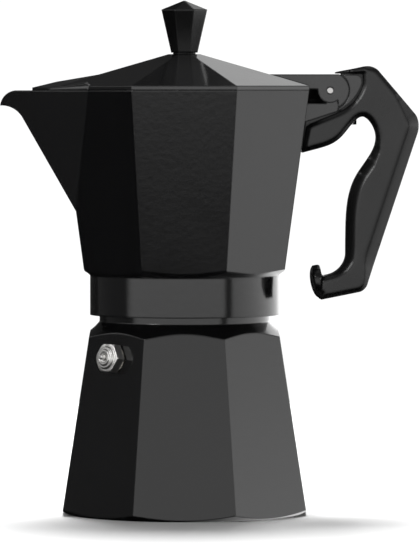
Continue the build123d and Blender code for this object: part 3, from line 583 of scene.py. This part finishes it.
class POT_OT_gable(bpy.types.Operator):
    """Cheeks of the lid's gable: thin plates along the spout's two sides, leaning in toward the top"""
    bl_idname = "pot.gable"
    bl_label = "Gable cheeks"

    def execute(self, context):
        for name, side in (("gable_cheek_left", 1), ("gable_cheek_front", -1)):
            bm = bmesh.new()
            for along, foot_out, height in CHEEK_ENDS:
                face = ((foot_out, CHEEK_LIFT), (CHEEK_TOP_OUT, height))
                back = ((CHEEK_BED, CHEEK_LIFT), (CHEEK_BED, height))
                for out, up in face + back:
                    step = out / math.sqrt(2)
                    bm.verts.new((-along - step, side * (PROW_SUM - along + step), RIM_Z + up))
            bmesh.ops.convex_hull(bm, input=bm.verts)
            piece(name, bm, "lid_unit", "enamel")
        return {"FINISHED"}


# ---- safety valve --------------------------------------------------------------------------------
VALVE_WALL = Vector((-29.343, -29.343, 66.7)) * MM
VALVE_LEAN = math.radians(8.61)
VALVE_ROUND_STEPS = 96
# Distance from the valve's own axis, and distance out from the boiler's wall.
VALVE_PROFILE = (
    (1.6, -6), (4.0, -6), (4.0, 0.8), (6.9, 0.8), (6.9, 4.2), (6.1, 4.65), (5.6, 4.8), (4.9, 4.8),
    (4.6, 5.0), (4.6, 5.5), (4.3, 5.8), (3.6, 5.8), (3.3, 6.0), (3.3, 6.35), (3.0, 6.6), (2.4, 6.6),
    (2.0, 6.2), (1.3, 6.1), (1.3, 5.6), (2.8, 5.6), (2.8, -3), (1.6, -3))


def press_six_sided(bm, half_across):
    """Brings what stands outside a hexagon in to its flats."""
    sixth = math.radians(60)
    for vert in bm.verts:
        out = math.hypot(vert.co.x, vert.co.y)
        from_flat = math.atan2(vert.co.y, vert.co.x) % sixth - sixth / 2
        limit = half_across / math.cos(from_flat)
        if out > limit:
            vert.co.x *= limit / out
            vert.co.y *= limit / out


class POT_OT_valve(bpy.types.Operator):
    """Safety valve's body: a six-sided nut with its flats level and stepped rings round the pin"""
    bl_idname = "pot.valve"
    bl_label = "Safety valve"

    def execute(self, context):
        bm = bmesh.new()
        ring = [bm.verts.new((r * MM, 0, z * MM)) for r, z in VALVE_PROFILE]
        edges = [bm.edges.new(pair) for pair in zip(ring, ring[1:] + ring[:1])]
        bmesh.ops.spin(bm, geom=ring + edges, cent=(0, 0, 0), axis=(0, 0, 1), angle=math.tau,
                       steps=VALVE_ROUND_STEPS, use_merge=True)
        bmesh.ops.remove_doubles(bm, verts=bm.verts, dist=0.001 * MM)
        press_six_sided(bm, context.scene.pot_sizes.nut_half_across)
        flat, rise = math.cos(VALVE_LEAN), math.sin(VALVE_LEAN)
        outward = Vector((-flat, -flat, math.sqrt(2) * rise)).normalized()
        level = Vector((1, -1, 0)).normalized()
        turn = Matrix((level, outward.cross(level), outward)).transposed()
        bmesh.ops.rotate(bm, verts=bm.verts, matrix=turn)
        bmesh.ops.translate(bm, verts=bm.verts, vec=VALVE_WALL)
        piece("valve_nut", bm, "boiler_unit", "plated steel",
              ["valve_body", "valve_cap"], smooth=20.0)
        return {"FINISHED"}


# ---- stage ---------------------------------------------------------------------------------------
# Levels of the room that reflections show. Turns are in degrees round the pot, from the front toward
# the right; heights are in degrees over the horizon.
PANELS = (
    (-180, 0.02), (-134, 0.01), (-128, 0.045), (-76, 0.04), (-70, 0.4), (-66, 0.48),
    (49, 0.48), (53, 0.04), (58, 0.04), (62, 0.485), (140, 0.8),
    (168, 0.8), (173, 0.5), (177.5, 0.45), (178.8, 0.03), (180, 0.03))
STOREYS = (
    (-2.5, 0.62), (-0.8, 1.0), (5, 1.0), (10, 0.6), (26, 0.6), (31, 0.2), (55, 0.1), (70, 0.35), (90, 0.4))
LOW_FRONT = ((-17.6, 0.0), (-16.6, 0.12), (-15, 0.58), (-13, 0.9), (-10, 1.0))
LOW_RIGHT = ((-50, 0.2), (-32, 0.9), (-14, 1.0), (-10, 1.12), (-5, 1.0))
LOW_LEFT = ((-9, 0.12), (-3, 1.0))
HIGH_LEFT = ((-112, 0.0), (-104, 0.42), (-76, 0.42), (-70, 0.0))
HIGH_LEFT_STOREY = ((15, 0.0), (18, 1.0), (32, 1.0), (36, 0.0))
RIGHT_FROM = (0.9, 1.05)  # radians
LEFT_FROM = (-1.05, -1.25)
REFLECTED = 3.2
LIGHTING = 0.42
BACKDROP = 1.05

TOP_LIGHT_PLACE = Vector((0.0, 0.6, 1.5))
TOP_LIGHT_SIZE = (0.7, 0.8)
SIDE_LIGHT_PLACE = Vector((-0.62, -0.62, 0.62))
SIDE_LIGHT_AIM = Vector((0.58, 0.58, -0.55))
SIDE_LIGHT_SIZE = 0.35
SENSOR_WIDTH = 36.0


def turns(stops):
    """Places on a ramp that goes once round the pot."""
    return [((degrees + 180) / 360, level) for degrees, level in stops]


def heights(stops):
    """Places on a ramp that goes from straight down to straight up."""
    return [((math.sin(math.radians(degrees)) + 1) / 2, level) for degrees, level in stops]


def studio_world(strength):
    """White for the camera; for reflections, big soft panels in front and to the right, dim on the left."""
    world = bpy.data.worlds.new("studio")
    world.use_nodes = True
    t = Tree(world.node_tree)
    way = t.add("ShaderNodeSeparateXYZ", {0: t.add("ShaderNodeTexCoord").outputs["Generated"]})
    toward = t.maths("MULTIPLY", way.outputs["Y"], -1.0)
    around = t.maths("ARCTAN2", way.outputs["X"], toward)
    full_turn = t.add("ShaderNodeMapRange", {"Value": around, "From Min": -math.pi, "From Max": math.pi})
    turn = full_turn.outputs["Result"]
    height = t.maths("ADD", t.maths("MULTIPLY", way.outputs["Z"], 0.5), 0.5)

    low_front, low_right, low_left = (
        t.ramp(height, heights(stops)) for stops in (LOW_FRONT, LOW_RIGHT, LOW_LEFT))
    on_right = t.spread(around, *RIGHT_FROM)
    on_left = t.spread(around, *LEFT_FROM)
    low = t.blend(on_right, t.blend(on_left, low_front, low_left), low_right)
    panels = t.maths("MULTIPLY", t.ramp(turn, turns(PANELS)), t.ramp(height, heights(STOREYS)))
    high_left = t.maths("MULTIPLY", t.ramp(turn, turns(HIGH_LEFT)),
                        t.ramp(height, heights(HIGH_LEFT_STOREY)))
    level = t.maths("ADD", t.maths("MULTIPLY", panels, low), high_left)

    ray = t.add("ShaderNodeLightPath")
    dim = t.spread(ray.outputs["Is Diffuse Ray"], 0.0, 1.0, REFLECTED * strength, LIGHTING * strength)
    room = t.add("ShaderNodeBackground", {"Color": level, "Strength": dim})
    backdrop = t.add("ShaderNodeBackground", {"Color": (1, 1, 1, 1), "Strength": BACKDROP})
    mix = t.add("ShaderNodeMixShader", {
        0: ray.outputs["Is Camera Ray"], 1: room.outputs[0], 2: backdrop.outputs[0]})
    t.add("ShaderNodeOutputWorld", {"Surface": mix.outputs[0]})
    return world


def make_floor(radius):
    bm = bmesh.new()
    bmesh.ops.create_circle(bm, cap_ends=True, segments=96, radius=radius)
    floor = mesh_object("floor", bm)
    paper, t, shader = material("floor paper")
    fibre = t.noise(300.0)
    t.put(shader, "Base Color", t.blend(fibre, (0.89, 0.89, 0.89, 1), (0.91, 0.91, 0.91, 1)))
    shader.inputs["Roughness"].default_value = 0.9
    shader.inputs["Specular IOR Level"].default_value = 0.0
    floor.data.materials.append(paper)
    floor.visible_glossy = False


def area_light(name, shape, size, watts, place, aim):
    """An area light at a place, shining along aim, that the camera doesn't see."""
    light = bpy.data.lights.new(name, "AREA")
    light.shape = shape
    light.size = size
    light.energy = watts
    made = bpy.data.objects.new(name, light)
    made.location = place
    made.rotation_euler = aim.to_track_quat("-Z", "Y").to_euler()
    made.visible_camera = False
    bpy.context.scene.collection.objects.link(made)
    return made


def make_camera(stage):
    lens = bpy.data.cameras.new("camera")
    lens.lens = stage.focal_length
    lens.sensor_width = SENSOR_WIDTH
    camera = bpy.data.objects.new("camera", lens)
    eye = Vector((0, -stage.eye_distance, stage.eye_height))
    aim = Vector((stage.aim_side, 0, stage.aim_height))
    camera.location = eye
    camera.rotation_euler = (aim - eye).to_track_quat("-Z", "Y").to_euler()
    bpy.context.scene.collection.objects.link(camera)
    bpy.context.scene.camera = camera


class POT_OT_stage(bpy.types.Operator):
    """Makes the floor, the soft light and the camera"""
    bl_idname = "pot.stage"
    bl_label = "Stage"

    def execute(self, context):
        scene = context.scene
        stage = scene.pot_stage
        scene.world = studio_world(stage.room)
        scene.view_settings.view_transform = "Standard"
        make_floor(stage.floor_radius)
        top = area_light("top light", "RECTANGLE", TOP_LIGHT_SIZE[0], stage.top_light,
                         TOP_LIGHT_PLACE, -TOP_LIGHT_PLACE)
        top.data.size_y = TOP_LIGHT_SIZE[1]
        top.visible_glossy = False
        area_light("side light", "DISK", SIDE_LIGHT_SIZE, stage.side_light,
                   SIDE_LIGHT_PLACE, SIDE_LIGHT_AIM)
        make_camera(stage)
        return {"FINISHED"}


# ---- panel and start -----------------------------------------------------------------------------
STEPS = (POT_OT_finishes, POT_OT_handle, POT_OT_bracket, POT_OT_gable, POT_OT_valve, POT_OT_stage)
SETTINGS = {"pot_colours": PotColours, "pot_sizes": PotSizes, "pot_stage": PotStage}


class POT_PT_panel(bpy.types.Panel):
    """Coffee pot"""
    bl_label = "Coffee pot"
    bl_space_type = "VIEW_3D"
    bl_region_type = "UI"
    bl_category = "Coffee pot"

    def draw(self, context):
        for name, settings in SETTINGS.items():
            for setting in settings.__annotations__:
                self.layout.prop(getattr(context.scene, name), setting)
        for step in STEPS:
            self.layout.operator(step.bl_idname)


CLASSES = tuple(SETTINGS.values()) + STEPS + (POT_PT_panel,)


def register():
    for cls in CLASSES:
        bpy.utils.register_class(cls)
    for name, settings in SETTINGS.items():
        setattr(bpy.types.Scene, name, bpy.props.PointerProperty(type=settings))


def unregister():
    for name in SETTINGS:
        delattr(bpy.types.Scene, name)
    for cls in reversed(CLASSES):
        bpy.utils.unregister_class(cls)


def main():
    register()
    bpy.ops.pot.finishes()
    bpy.ops.pot.handle()
    bpy.ops.pot.bracket()
    bpy.ops.pot.gable()
    bpy.ops.pot.valve()
    bpy.ops.pot.stage()


if __name__ == "__main__":
    main()
